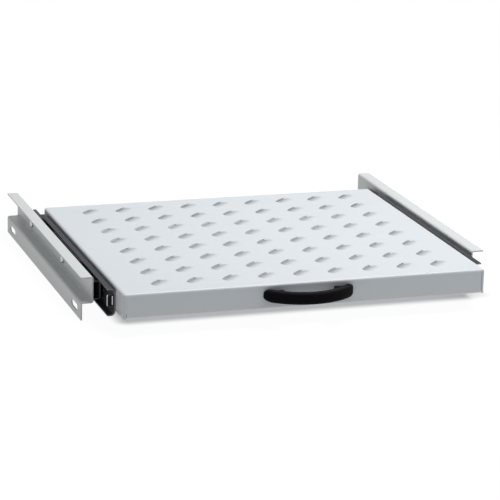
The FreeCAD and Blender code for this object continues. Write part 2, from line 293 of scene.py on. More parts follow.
def mouldedBlack(name):  # plastic with a fine leathery grain
    h = handleSkin
    finish, wire, place = newFinish(name)
    cells = wire.node("TexVoronoi", {}, {"Vector": place, "Scale": h["cells"]})
    cloud = noise(wire, place, *h["cloud"])
    closeFinish(wire, {
        "Base Color": blendColour(wire, cloud, h["dark"], h["light"]),
        "Roughness": h["rough"] + (cloud - noiseMiddle) * h["cloudRough"],
        "Specular IOR Level": h["shine"],
        "Normal": bumpFrom(wire, cells, h),
    })
    return finish


def middleOf(node, axis):
    low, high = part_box(node)
    return (low[axis] + high[axis]) / 2


ballTracks = [middleOf("right_outer_balls", 0), middleOf("right_inner_balls", 0)]
trayPaint = powderCoat("trayPowderCoat", **trayCoat, paintVentShadeOn="tray")
bracketPaint = powderCoat("bracketPowderCoat", **bracketCoat)
slideBlack = slideCoat("slideBlackCoat", ballTracks)
channelEdge, middleEdge, railEdge = (
    shearedEdge(node + "ShearedEdge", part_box("right_" + node)[0].y)
    for node in ("channel", "middle_member", "rail")
)
lugEdge, cageSteel, ballSteel, screwZinc = (bareSteel(name) for name in steelKinds)
handleBlack = mouldedBlack("handleBlack")
print("finishes made")


def placePiece(name, made, finish, body, nodes):
    mesh = bpy.data.meshes.new(name)
    made.to_mesh(mesh)
    made.free()
    for face in mesh.polygons:
        face.use_smooth = True
    piece = bpy.data.objects.new(name, mesh)
    scene.collection.objects.link(piece)
    mesh.materials.append(finish)
    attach(piece, body)
    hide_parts(*nodes)
    return piece


def keepSharp(piece, degrees):  # edges that turn further than this stay sharp in the shading
    piece.data.set_sharp_from_angle(angle=math.radians(degrees))


edgeMake = dict(segments=2, sharpFrom=50, flatWeight=80)


def giveSheet(piece, sheet, cutEdge, rimFinish=None):  # thickness of the sheet and its softened cut edges
    skin = piece.modifiers.new("sheet", "SOLIDIFY")
    skin.thickness = sheet
    skin.offset = 0
    edge = piece.modifiers.new("cutEdges", "BEVEL")
    edge.width = cutEdge
    edge.segments = edgeMake["segments"]
    edge.limit_method = "ANGLE"
    edge.angle_limit = math.radians(edgeMake["sharpFrom"])
    even = piece.modifiers.new("flatFaces", "WEIGHTED_NORMAL")
    even.weight = edgeMake["flatWeight"]
    if rimFinish:
        piece.data.materials.append(rimFinish)
        skin.material_offset_rim = 1
        edge.material = 1


def roundedPath(corners, radius, steps):  # path with its inner corners as arcs, and where its runs start
    path, runs = [Vector(corners[0])], [0]
    for before, corner, after in zip(corners, corners[1:], corners[2:]):
        here = Vector(corner)
        back = (Vector(before) - here).normalized()
        ahead = (Vector(after) - here).normalized()
        half = (math.pi - back.angle(ahead)) / 2
        middle = here + (back + ahead).normalized() * (radius / math.cos(half))
        start = here + back * (radius * math.tan(half)) - middle
        side = math.copysign(1, back.y * ahead.x - back.x * ahead.y)
        for i in range(steps + 1):
            path.append(middle + Matrix.Rotation(side * 2 * half * i / steps, 2) @ start)
        runs.append(len(path) - 1)
    path.append(Vector(corners[-1]))
    return path, runs


def bridge(made, first, second):  # faces between two loops with as many points
    steps = range(len(first))
    return [made.faces.new([first[k - 1], first[k], second[k], second[k - 1]]) for k in steps]


def lathe(made, profile, count, place, ripple=None):  # rings of points round Z, from (radius, height) pairs
    rings = []
    for radius, z in profile:
        ring = []
        for i in range(count):
            angle = 2 * math.pi * i / count
            out = radius - (ripple(angle, z) if ripple else 0)
            ring.append(made.verts.new(place @ Vector((out * math.cos(angle), out * math.sin(angle), z))))
        rings.append(ring)
    for low, high in zip(rings, rings[1:]):
        bridge(made, low, high)
    return rings


def ringFaces(made, outer, inner, anchors):  # flat faces between a loop and the hole in it
    nearest = [min(range(len(inner)), key=lambda k: (inner[k].co - outer[a].co).length) for a in anchors]
    for step, first in enumerate(anchors):
        follow = (step + 1) % len(anchors)
        span = (anchors[follow] - first) % len(outer)
        rim = (nearest[follow] - nearest[step]) % len(inner)
        out = [outer[(first + k) % len(outer)] for k in range(span + 1)]
        back = [inner[(nearest[step] + k) % len(inner)] for k in range(rim + 1)]
        made.faces.new(out + back[::-1])


def addGrid(made, grid, holes=(), absent=None):  # surface through rows of points; gives its cut-outs' rims
    dots = [[made.verts.new(point) for point in row] for row in grid]
    rims = {}
    for r in range(len(grid) - 1):
        for c in range(len(grid[0]) - 1):
            if absent and absent(r, c):
                continue
            cell = [dots[r][c], dots[r][c + 1], dots[r + 1][c + 1], dots[r + 1][c]]
            if (r, c) not in holes:
                made.faces.new(cell)
                continue
            centre = sum((dot.co for dot in cell), Vector()) / len(cell)
            across = (cell[1].co - cell[0].co).normalized()
            along = (cell[3].co - cell[0].co).normalized()
            rims[r, c] = [made.verts.new(centre + across * a + along * b) for a, b in holes[r, c]]
            ringFaces(made, cell, rims[r, c], [0, 1, 2, 3])
    return rims


weldGap = 0.002 * mm


def weldGrids(made):  # joins patches that share an edge into one sheet
    bmesh.ops.remove_doubles(made, verts=made.verts, dist=weldGap)
    bmesh.ops.delete(made, geom=[dot for dot in made.verts if not dot.link_faces], context="VERTS")
    bmesh.ops.recalc_face_normals(made, faces=made.faces)


def slotOutline(length, width, turn, steps, shift=(0, 0)):  # long round-ended cut-out, or a round one
    half = (length - width) / 2
    points = []
    for end in (0, 1):
        for i in range(steps + 1):
            if length == width and i == steps:
                continue
            angle = math.pi * (i / steps - 0.5 + end)
            spot = Vector((math.cos(angle) * width / 2, math.sin(angle) * width / 2))
            spot.x += half if end == 0 else -half
            points.append(Matrix.Rotation(math.radians(turn), 2) @ spot + Vector(shift))
    return points


def roundOutline(across, steps, shift=(0, 0)):
    return slotOutline(across, across, 0, steps, shift)


screwMake = dict(
    headAcross=8 * mm, headHeight=2.6 * mm, shank=4 * mm, pitch=0.7 * mm, threadDepth=0.3 * mm,
    pointShare=0.25, ringsPerTurn=6, solidSides=10, sides=24,
    rimHeight=0.9 * mm, rimSoft=0.15 * mm, crown=1.5 * mm, crownRings=7,
    recessReach=2.3 * mm, recessWidth=0.55 * mm, recessDepth=1.5 * mm, recessTaper=0.55, sharpFrom=38,
)


def solidHeadWidth():  # width along an axis of the many-sided head that the solid has
    sides = screwMake["solidSides"]
    return screwMake["headAcross"] * max(math.cos(2 * math.pi * (i + 0.5) / sides) for i in range(sides))


def screwSpots(node, axis):  # the two places of a pair of screws along an axis
    low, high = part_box(node)
    spread = (high - low)[axis] - solidHeadWidth()
    return [middleOf(node, axis) + side * spread / 2 for side in (-1, 1)]


trayMake = dict(
    sheet=1.2 * mm, bend=2.2 * mm, bendSteps=6, cutEdge=0.2 * mm, returnWidth=12 * mm,
    seam=0.8 * mm, earLength=0.3 * mm, screwHole=4.5 * mm, holeSteps=8,
    columns=9, rows=8, ventAcross=38.6 * mm, ventAlong=40.9 * mm,
    ventLength=24 * mm, ventWidth=8 * mm, ventTurn=45, squareness=3.2,
    leadIn=7.6 * mm, leadOut=0.9 * mm, leadFront=-3 * mm, leadRear=3.5 * mm,
    louvreSteps=26, louvreRows=9, louvreDip=1.6 * mm, louvreCurve=1.2, cutLength=21 * mm, cutEnd=3 * mm,
    louvreBowl=0.7, bowlLean=1.8, bowlBlunt=4,
)


def smooth(value):
    value = min(max(value, 0), 1)
    return value * value * (3 - 2 * value)


def louvreSize():  # length and width of the pressed patch: the vent and the soft lead-in on its near side
    t = trayMake
    return t["ventLength"] + t["leadFront"] + t["leadRear"], t["ventWidth"] + t["leadIn"] + t["leadOut"]


def louvreStations():  # places along a louvre from tip to tip, with its half width at each
    length, width = louvreSize()
    power = 2 / trayMake["squareness"]  # a superellipse: blunt ends with round corners
    stations = []
    for i in range(trayMake["louvreSteps"] + 1):
        turn = math.pi * i / trayMake["louvreSteps"]
        along = -math.copysign(abs(math.cos(turn))**power, math.cos(turn)) * length / 2
        stations.append((along, abs(math.sin(turn))**power * width / 2))
    return stations


def louvreOutline():
    t = trayMake
    stations = louvreStations()
    near = [(along, -width) for along, width in stations]
    far = [(along, width) for along, width in stations[-2:0:-1]]
    turn = Matrix.Rotation(math.radians(t["ventTurn"]), 2)
    shift = Vector((t["leadRear"] - t["leadFront"], t["leadOut"] - t["leadIn"])) / 2
    return [turn @ (Vector(point) + shift) for point in near + far]


def addLouvre(made, rim):  # tongue pressed down from the near edge of a vent and cut free along the far one
    t = trayMake
    stations = louvreStations()
    last, rows = len(stations) - 1, t["louvreRows"]
    length = louvreSize()[0]
    lines = []
    for k, (along, _) in enumerate(stations):
        near = rim[k]
        if k in (0, last):
            lines.append([near] * (rows + 1))
            continue
        far = rim[2 * last - k]
        free = smooth((t["cutLength"] / 2 - abs(along)) / t["cutEnd"])
        bowl = t["louvreBowl"] * math.sqrt(1 - (2 * along / length)**t["bowlBlunt"])
        line = [near]
        for j in range(1, rows + 1):
            share = j / rows
            closed = bowl * math.sin(math.pi * share**t["bowlLean"])
            dip = free * share**t["louvreCurve"] + (1 - free) * closed
            if j == rows and free == 0:
                line.append(far)
            else:
                drop = Vector((0, 0, t["louvreDip"] * dip))
                line.append(made.verts.new(near.co.lerp(far.co, share) - drop))
        lines.append(line)
    for a, b in zip(lines, lines[1:]):
        for j in range(rows):
            made.faces.new(dict.fromkeys([a[j], b[j], b[j + 1], a[j + 1]]))


def addTrayCorner(made, sideX, sideY, hub, bottom, top):  # ear of the side wall, and the ball on top of it
    t = trayMake
    steps = t["bendSteps"]
    turns = [math.pi / 2 * i / steps for i in range(steps + 1)]

    def spot(height, lift, turn):
        reach = t["bend"] * math.cos(lift)
        x = hub.x + sideX * reach * math.sin(turn)
        y = hub.y + sideY * reach * math.cos(turn)
        return Vector((x, y, height + t["bend"] * math.sin(lift)))

    ball = [[spot(top, lift, turn) for turn in turns] for lift in turns]
    ear = [[spot(height, 0, turn) for turn in turns] for height in (bottom, top)]
    for row in ear:
        row.insert(0, row[0] - Vector((sideX * t["earLength"], 0, 0)))
    addGrid(made, ball)
    addGrid(made, ear)


def ventBorders(middle, count, pitch):
    return [middle + (i - count / 2) * pitch for i in range(count + 1)]


def spanWith(path, start, breaks):  # inserts breaks into the straight run that begins at path[start]
    first, last = path[start], path[start + 1]
    middle = [Vector((b, first.y)) for b in sorted(breaks) if first.x < b < last.x]
    return path[:start + 1] + middle + path[start + 1:], start + 1 + len(middle)


def ventSteps(path, first, last, borders):  # the steps of a path that lie between the outermost borders
    return [k for k in range(first, last) if borders[0] < (path[k].x + path[k + 1].x) / 2 < borders[-1]]


def stepWith(path, first, last, place):  # the step of a path that a place falls into
    return max(k for k in range(first, last) if path[k].x < place)


def holeInCell(grid, r, c, place):  # a round screw hole at a place in a cell of the grid
    corners = [Vector(grid[r + i][c + j]) for i in (0, 1) for j in (0, 1)]
    out = Vector(place) - sum(corners, Vector()) / len(corners)
    across = (corners[1] - corners[0]).normalized()
    along = (corners[2] - corners[0]).normalized()
    shift = (across.dot(out), along.dot(out))
    return roundOutline(trayMake["screwHole"], trayMake["holeSteps"], shift)


def buildTray():
    t = trayMake
    low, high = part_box("tray")
    skin = t["sheet"] / 2
    x0, x1 = low.x + skin, high.x - skin
    y0, y1 = low.y + skin, high.y - skin
    bottom, top = low.z + skin, high.z - skin
    bend, steps = t["bend"], t["bendSteps"]
    columns = ventBorders((x0 + x1) / 2, t["columns"], t["ventAcross"])
    rows = ventBorders((y0 + y1) / 2, t["rows"], t["ventAlong"])
    seamBreaks = []
    for way, end in ((1, x0), (-1, x1)):
        earEnd = end + way * (bend + t["earLength"])
        seamBreaks += [earEnd, earEnd + way * t["seam"]]
    xPath, xRuns = roundedPath([(x0, low.z), (x0, top), (x1, top), (x1, low.z)], bend, steps)
    yPath, yRuns = roundedPath([
        (y0 + t["returnWidth"], bottom), (y0, bottom), (y0, top),
        (y1, top), (y1, bottom), (y1 - t["returnWidth"], bottom),
    ], bend, steps)
    xDeck, frontWall, yDeck = xRuns[1], yRuns[1], yRuns[2]  # where the flat deck and the front wall begin
    xPath, xLast = spanWith(xPath, xDeck, columns + seamBreaks)
    yPath, yLast = spanWith(yPath, yDeck, rows)
    rearWall = len(yPath) - (frontWall + 2)
    sideWalls = {0: x0, len(xPath) - 2: x1}
    seams = (xDeck, xDeck + 1, xLast - 2, xLast - 1)  # ears of the side walls and the gaps beside them

    def spot(r, c):
        level = xPath[c].y if yDeck <= r <= yLast else yPath[r].y
        return (xPath[c].x, yPath[r].x, level)

    def absent(r, c):
        overX = not xDeck <= c < xLast
        overY = not yDeck <= r < yLast
        atSeam = c in seams and not frontWall < r < rearWall
        return overX and overY or atSeam

    grid = [[spot(r, c) for c in range(len(xPath))] for r in range(len(yPath))]
    ventColumns = ventSteps(xPath, xDeck, xLast, columns)
    vents = [(r, c) for r in ventSteps(yPath, yDeck, yLast, rows) for c in ventColumns]
    holes = {cell: louvreOutline() for cell in vents}
    slideAxis, handleAxis = middleOf("right_channel", 2), middleOf("handle_screws", 2)
    for column, wall in sideWalls.items():
        for y in screwSpots("right_channel_screws", 1):
            row = stepWith(yPath, yDeck, yLast, y)
            holes[row, column] = holeInCell(grid, row, column, (wall, y, slideAxis))
    for x in screwSpots("handle_screws", 0):
        column = stepWith(xPath, xDeck, xLast, x)
        holes[frontWall, column] = holeInCell(grid, frontWall, column, (x, y0, handleAxis))
    made = bmesh.new()
    rims = addGrid(made, grid, holes, absent)
    for cell in vents:
        addLouvre(made, rims[cell])
    for sideX, hubX in ((-1, x0 + bend), (1, x1 - bend)):
        for sideY, hubY in ((-1, y0 + bend), (1, y1 - bend)):
            addTrayCorner(made, sideX, sideY, Vector((hubX, hubY)), low.z, top - bend)
    weldGrids(made)
    piece = placePiece("trayFolded", made, trayPaint, "tray", ["tray"])
    giveSheet(piece, t["sheet"], t["cutEdge"])


buildTray()
print("tray folded")


def rowsRound(front, rear, spots, reach):  # ends of a strip, then a row before and behind each spot
    rows = [front, rear]
    for y in spots:
        rows += [y - reach, y + reach]
    return rows


def screwCuts(sign, web, axis, screws, make):  # round holes in the web, which is run 1 of its section
    hole = roundOutline(make["screwHole"], make["holeSteps"])
    return [(1, (y, (sign * web, axis)), hole) for y in screws]


def rolledStrip(name, section, rows, cuts, make, finishes, body, node):
    path, runs = roundedPath(section, make["bend"], make["bendSteps"])
    grid = [[(p.x, y, p.y) for p in path] for y in rows]
    holes = {}
    for run, (along, spot), outline in cuts:  # run counts the straight runs of the section
        column = runs[run]
        first, last = path[column], path[column + 1]
        row = max(r for r in range(len(rows) - 1) if rows[r] < along)
        way = (last - first).normalized()
        across = way.dot(Vector(spot) - (first + last) / 2)
        shift = Vector((across, along - (rows[row] + rows[row + 1]) / 2))
        holes[row, column] = [point + shift for point in outline]
    made = bmesh.new()
    addGrid(made, grid, holes)
    piece = placePiece(name, made, finishes[0], body, [node])
    giveSheet(piece, make["sheet"], make["cutEdge"], *finishes[1:])


bracketMake = dict(
    sheet=1.5 * mm, bend=1.75 * mm, bendSteps=6, cutEdge=0.3 * mm, stepDrop=27 * mm,
    slotLength=26 * mm, slotWidth=7 * mm, slotTurn=90, slotRise=9.2 * mm, slotInset=28 * mm,
    screwHole=4.5 * mm, holeSteps=10, room=4 * mm,
)


def buildBracket(side, sign):
    b = bracketMake
    low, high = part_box("right_bracket")
    half = b["sheet"] / 2
    top = high.z - half
    step = top - b["stepDrop"]
    web, lower = low.x + half, high.x - half
    section = [(high.x, top), (web, top), (web, step), (lower, step), (lower, low.z)]
    section = [(sign * x, z) for x, z in section]
    slotSpots = [low.y + b["slotInset"], high.y - b["slotInset"]]
    screws = screwSpots("right_rail_screws", 1)
    rows = rowsRound(low.y, high.y, slotSpots, b["slotLength"] / 2 + b["room"])
    rows += rowsRound(low.y, high.y, screws, b["screwHole"] / 2 + b["room"])[2:]
    slot = slotOutline(b["slotLength"], b["slotWidth"], b["slotTurn"], b["holeSteps"])
    cuts = [(3, (y, (sign * lower, b["slotRise"])), slot) for y in slotSpots]
    cuts += screwCuts(sign, web, middleOf("right_rail_screws", 2), screws, b)
    rolledStrip(
        side + "BracketFolded", section, sorted(rows), cuts, b, [bracketPaint],
        "brackets", side + "_bracket",
    )


slideMake = dict(
    sheet=1.4 * mm, bend=1.9 * mm, bendSteps=6, cutEdge=0.2 * mm,
    screwHole=4.5 * mm, holeSteps=8, room=3 * mm,
)
channelMake = dict(slideMake, bend=4.1 * mm)
lugMake = dict(
    setback=8.4 * mm, height=12.5 * mm, reach=6.5 * mm, corner=1.5 * mm, cornerSteps=6, room=1.5 * mm,
    burr=0.35 * mm, bend=0.65 * mm, bendSteps=6, sunk=0.2 * mm, sharpFrom=30,
)


def openSection(node, sign, sheet, webInside):  # section of a slide member, lip to lip, and its web's x
    low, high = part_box(node)
    half = sheet / 2
    web, tip = (low.x + half, high.x) if webInside else (high.x - half, low.x)
    corners = [(tip, high.z - half), (web, high.z - half), (web, low.z + half), (tip, low.z + half)]
    return [(sign * x, z) for x, z in corners], web


def endsOf(node):  # front and rear of a piece
    low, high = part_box(node)
    return low.y, high.y


def lugOutline(inset=0):  # flat-rooted tongue, as (reach, height) points
    g = lugMake
    half, reach = g["height"] / 2 - inset, g["reach"] - inset
    corners = [(0, -half), (reach, -half), (reach, half), (0, half)]
    return roundedPath(corners, g["corner"] - inset, g["cornerSteps"])[0]


def addLugBend(made, sign, face, front, axis):  # hollow bend at the tongue's root, its coat cracked off
    g = lugMake
    half = g["height"] / 2 - g["corner"]
    ends = []
    for z in (axis - half, axis + half):
        points = [(-g["sunk"], g["sunk"])]  # held inside the web and the tongue
        for i in range(g["bendSteps"] + 1):
            turn = math.pi / 2 * i / g["bendSteps"]
            points.append((g["bend"] * (1 - math.cos(turn)), g["bend"] * (math.sin(turn) - 1)))
        ends.append([made.verts.new((sign * (face + out), front + along, z)) for out, along in points])
    for k, strip in enumerate(bridge(made, *ends)):
        strip.material_index = int(k > 1)  # the hollow itself, not the two sides that are sunk
    made.faces.new(ends[0][::-1])
    made.faces.new(ends[1])


def buildLug(side, sign, web, rear, axis):  # the stop tongue, with its sheared edges broken bright
    burr, sheet = lugMake["burr"], slideMake["sheet"]
    made = bmesh.new()
    loops = []
    for inset, y in ((burr, rear), (0, rear - burr), (0, rear - sheet + burr), (burr, rear - sheet)):
        loops.append([made.verts.new((sign * (web + p.x), y, axis + p.y)) for p in lugOutline(inset)])
    for back, front in zip(loops, loops[1:]):
        for edge in bridge(made, back, front):
            edge.material_index = 1
    made.faces.new(loops[0][::-1])
    made.faces.new(loops[-1])
    addLugBend(made, sign, web + sheet / 2, rear - sheet, axis)
    bmesh.ops.recalc_face_normals(made, faces=made.faces)
    piece = placePiece(side + "StopLug", made, slideBlack, "tray", [side + "_channel"])
    piece.data.materials.append(lugEdge)
    keepSharp(piece, lugMake["sharpFrom"])


def buildChannel(side, sign):
    c, g = channelMake, lugMake
    section, web = openSection("right_channel", sign, c["sheet"], True)
    front, rear = endsOf("right_channel")
    axis = middleOf("right_channel", 2)
    screws = screwSpots("right_channel_screws", 1)
    rows = rowsRound(front, rear, screws, c["screwHole"] / 2 + c["room"])
    lugRear = front + g["setback"]
    windowFront, windowRear = lugRear + c["sheet"] / 2, lugRear + g["reach"]
    rows += [windowFront - g["room"], windowRear + g["room"]]
    cuts = screwCuts(sign, web, axis, screws, c)
    windowMiddle = (windowFront + windowRear) / 2
    shrink = (windowRear - windowFront) / g["reach"]
    window = [Vector((-p.y, p.x * shrink + windowFront - windowMiddle)) for p in lugOutline()]
    cuts.append((1, (windowMiddle, (sign * web, axis)), window))  # where the tongue was bent out
    rolledStrip(
        side + "ChannelRolled", section, sorted(rows), cuts, c, [slideBlack, channelEdge],
        "tray", side + "_channel",
    )
    buildLug(side, sign, web, lugRear, axis)


def buildMiddle(side, sign):
    s = slideMake
    section = openSection("right_middle_member", sign, s["sheet"], True)[0]
    rolledStrip(
        side + "MiddleRolled", section, endsOf("right_middle_member"), [], s, [slideBlack, middleEdge],
        side + "_middle", side + "_middle_member",
    )


def buildRail(side, sign):
    s = slideMake
    section, web = openSection("right_rail", sign, s["sheet"], False)
    screws = screwSpots("right_rail_screws", 1)
    rows = rowsRound(*endsOf("right_rail"), screws, s["screwHole"] / 2 + s["room"])
    cuts = screwCuts(sign, web, middleOf("right_rail", 2), screws, s)
    rolledStrip(
        side + "RailRolled", section, sorted(rows), cuts, s, [slideBlack, railEdge],
        "brackets", side + "_rail",
    )


ballMake = dict(diameter=3.5 * mm, perRow=4, segments=20, rings=12, solidSides=8)
cageMake = dict(
    sheet=0.6 * mm, bend=0.9 * mm, bendSteps=6, cutEdge=0.08 * mm,
    pocket=3.9 * mm, pocketSteps=10, room=1.2 * mm,
)


def ballSpots(which):  # centres of the right-hand balls, two rows
    low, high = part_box("right_" + which + "_balls")
    front, rear = endsOf("right_" + which + "_cage")
    pitch = (rear - front) / ballMake["perRow"]
    reach = ballMake["diameter"] / 2 * math.cos(math.pi / ballMake["solidSides"])
    rise = (high.z - low.z) / 2 - reach
    across, axis = (low.x + high.x) / 2, (low.z + high.z) / 2
    along = [front + (i + 0.5) * pitch for i in range(ballMake["perRow"])]
    return [Vector((across, y, axis + way * rise)) for way in (1, -1) for y in along]


def buildCage(side, sign, which):
    c = cageMake
    node = "right_" + which + "_cage"
    section = openSection(node, sign, c["sheet"], True)[0]
    spots = ballSpots(which)
    rows = rowsRound(*endsOf(node), sorted({spot.y for spot in spots}), c["pocket"] / 2 + c["room"])
    pocket = roundOutline(c["pocket"], c["pocketSteps"])
    axis = middleOf(node, 2)
    cuts = [(0 if spot.z > axis else 2, (spot.y, (sign * spot.x, spot.z)), pocket) for spot in spots]
    rolledStrip(
        side + which.title() + "CageStrip", section, sorted(rows), cuts, c, [cageSteel],
        side + "_" + which + "_cage", side + "_" + which + "_cage",
    )


def addBall(made, place):
    b = ballMake
    radius = b["diameter"] / 2
    turns = [math.pi * (i / b["rings"] - 0.5) for i in range(1, b["rings"])]
    profile = [(radius * math.cos(turn), radius * math.sin(turn)) for turn in turns]
    rings = lathe(made, profile, b["segments"], place)
    for ring, end in ((rings[0][::-1], -radius), (rings[-1], radius)):
        pole = made.verts.new(place @ Vector((0, 0, end)))
        for k in range(b["segments"]):
            made.faces.new([ring[k - 1], ring[k], pole])


def buildBalls(side, sign, which):
    made = bmesh.new()
    for spot in ballSpots(which):
        addBall(made, Matrix.Translation((sign * spot.x, spot.y, spot.z)))
    body = side + "_" + which + "_cage"
    node = side + "_" + which + "_balls"
    placePiece(side + which.title() + "Balls", made, ballSteel, body, [node])


sides = {"left": -1, "right": 1}
for side, sign in sides.items():
    buildBracket(side, sign)
    buildChannel(side, sign)
    buildMiddle(side, sign)
    buildRail(side, sign)
    for which in ("outer", "inner"):
        buildCage(side, sign, which)
        buildBalls(side, sign, which)
print("brackets and slides rolled")


def crossLoop(reach, width):  # outline of a cross recess, counter-clockwise
    corner = [(reach, -width), (reach, width), (width, width)]
    return [Matrix.Rotation(math.pi / 2 * turn, 2) @ Vector(p) for turn in range(4) for p in corner]


def addScrew(made, length, place):  # pan head above zero, threaded shank below
    s = screwMake
    rim, shank = s["headAcross"] / 2, s["shank"] / 2
    point = shank * s["pointShare"]

    def thread(angle, z):
        turn = (z / s["pitch"] - angle / (2 * math.pi)) % 1
        return s["threadDepth"] * (1 - abs(2 * turn - 1)) if point - length < z < -s["pitch"] else 0

    count = max(2, round(length / s["pitch"] * s["ringsPerTurn"]))
    shankRings = [(shank - 2 * s["threadDepth"], -length)]
    shankRings += [(shank, point - length + (length - point) * i / count) for i in range(count + 1)]
    first = lathe(made, shankRings, s["sides"], place, thread)
    made.faces.new(first[0][::-1])
    crown = [(shank, 0), (rim - s["rimSoft"], 0), (rim, s["rimSoft"]), (rim, s["rimHeight"])]
    rise = s["headHeight"] - s["rimHeight"]
    for i in range(1, s["crownRings"] + 1):
        angle = math.pi / 2 * i / s["crownRings"]
        crown.append((rim - s["crown"] * (1 - math.cos(angle)), s["rimHeight"] + rise * math.sin(angle)))
    head = lathe(made, crown, s["sides"], place)

    def cross(scale, z):
        loop = crossLoop(s["recessReach"] * scale, s["recessWidth"] * scale)
        return [made.verts.new(place @ Vector((p.x, p.y, z))) for p in loop]

    mouth = cross(1, s["headHeight"])
    floor = cross(s["recessTaper"], s["headHeight"] - s["recessDepth"])
    ringFaces(made, head[-1], mouth, [s["sides"] // 8 * k for k in (1, 3, 5, 7)])  # from between the arms
    bridge(made, mouth, floor)
    made.faces.new(floor)


nutMake = dict(across=7 * mm, bore=2.05 * mm, chamfer=0.4 * mm, mouth=0.35 * mm, sides=48)


def addNut(made, place, height):
    n = nutMake
    flat, chamfer = n["across"] / 2, n["chamfer"]
    sixth = math.pi / 3  # turn between two flats
    corner = flat / math.cos(sixth / 2)
    shoulders = {0: flat, chamfer: corner, height - chamfer: corner, height: flat}

    def hexCut(angle, z):  # how far the hexagon, with its corners chamfered, lies inside the corner circle
        side = flat / math.cos((angle + sixth / 2) % sixth - sixth / 2)
        return corner - min(side, shoulders[z])

    outer = lathe(made, [(corner, z) for z in shoulders], n["sides"], place, hexCut)
    wide, mouth = n["bore"] + n["mouth"], n["mouth"]
    bore = [(wide, height), (n["bore"], height - mouth), (n["bore"], mouth), (wide, 0)]
    inner = lathe(made, bore, n["sides"], place)
    bridge(made, outer[-1], inner[0])
    bridge(made, inner[-1], outer[0])


def placeAlong(spot, direction):  # turns +Z to a direction and moves to a spot
    return Matrix.Translation(spot) @ Vector(direction).to_track_quat("Z", "Y").to_matrix().to_4x4()


def placeFasteners(name, made, body, node):
    bmesh.ops.recalc_face_normals(made, faces=made.faces)
    piece = placePiece(name, made, screwZinc, body, [node])
    keepSharp(piece, screwMake["sharpFrom"])


def buildSlideScrews(side, sign):
    axis = middleOf("right_rail_screws", 2)
    low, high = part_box("right_rail_screws")
    nutLow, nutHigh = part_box("right_rail_nuts")
    screws, nuts, inside = bmesh.new(), bmesh.new(), bmesh.new()
    headFace = high.x - screwMake["headHeight"]
    for y in screwSpots("right_rail_screws", 1):
        addScrew(screws, headFace - low.x, placeAlong((sign * headFace, y, axis), (sign, 0, 0)))
        addNut(nuts, placeAlong((sign * nutHigh.x, y, axis), (-sign, 0, 0)), nutHigh.x - nutLow.x)
    placeFasteners(side + "RailScrews", screws, "brackets", side + "_rail_screws")
    placeFasteners(side + "RailNuts", nuts, "brackets", side + "_rail_nuts")
    low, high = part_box("right_channel_screws")
    headFace = low.x + screwMake["headHeight"]
    for y in screwSpots("right_channel_screws", 1):
        addScrew(inside, high.x - headFace, placeAlong((sign * headFace, y, axis), (-sign, 0, 0)))
    placeFasteners(side + "ChannelScrews", inside, "tray", side + "_channel_screws")


def buildHandleScrews():
    low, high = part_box("handle_screws")
    made = bmesh.new()
    headFace = high.y - screwMake["headHeight"]
    for x in screwSpots("handle_screws", 0):
        addScrew(made, headFace - low.y, placeAlong((x, headFace, middleOf("handle_screws", 2)), (0, 1, 0)))
    placeFasteners("handleScrews", made, "tray", "handle_screws")


for side, sign in sides.items():
    buildSlideScrews(side, sign)
buildHandleScrews()
print("screws and nuts turned")


handleMake = dict(
    grip=8.5 * mm, frontCorner=3.4 * mm, backCorner=1.6 * mm, cornerShare=0.47, cornerSteps=7,
    footLength=22 * mm, footSide=5 * mm, footHeight=9.4 * mm, footDraft=0.92, footStep=2.4 * mm,
    endRound=5 * mm, endBlunt=2.4, endTaper=9 * mm, endTip=0.2, taperBlunt=2.5,
    thinnest=0.3 * mm, slices=221, endReach=0.9995, sharpFrom=45,
)


def gripRing(front, back, foot, tall):  # section of the bow and of the foot behind it, as (out, up) points
    h = handleMake
    most = h["cornerShare"] * min(front - back, tall)
    frontCorner, backCorner = min(h["frontCorner"], most), min(h["backCorner"], most)
    ring = []

    def addCorner(out, up, corner, start):
        edge = front if out > 0 else back
        centre = Vector((edge - out * corner, up * (tall / 2 - corner)))
        for k in range(h["cornerSteps"] + 1):
            angle = math.radians(start + 90 * k / h["cornerSteps"])
            ring.append(centre + Vector((math.cos(angle), math.sin(angle))) * corner)

    addCorner(1, -1, frontCorner, -90)
    addCorner(1, 1, frontCorner, 0)
    addCorner(-1, 1, backCorner, 90)
    root = min(h["footHeight"], tall - 2 * backCorner - h["thinnest"]) / 2  # where the foot leaves the bow
    tip = root * h["footDraft"]
    for out, up in ((back, root), (foot, tip), (foot, -tip), (back, -root)):
        ring.append(Vector((out, up)))
    addCorner(-1, -1, backCorner, 180)
    return ring


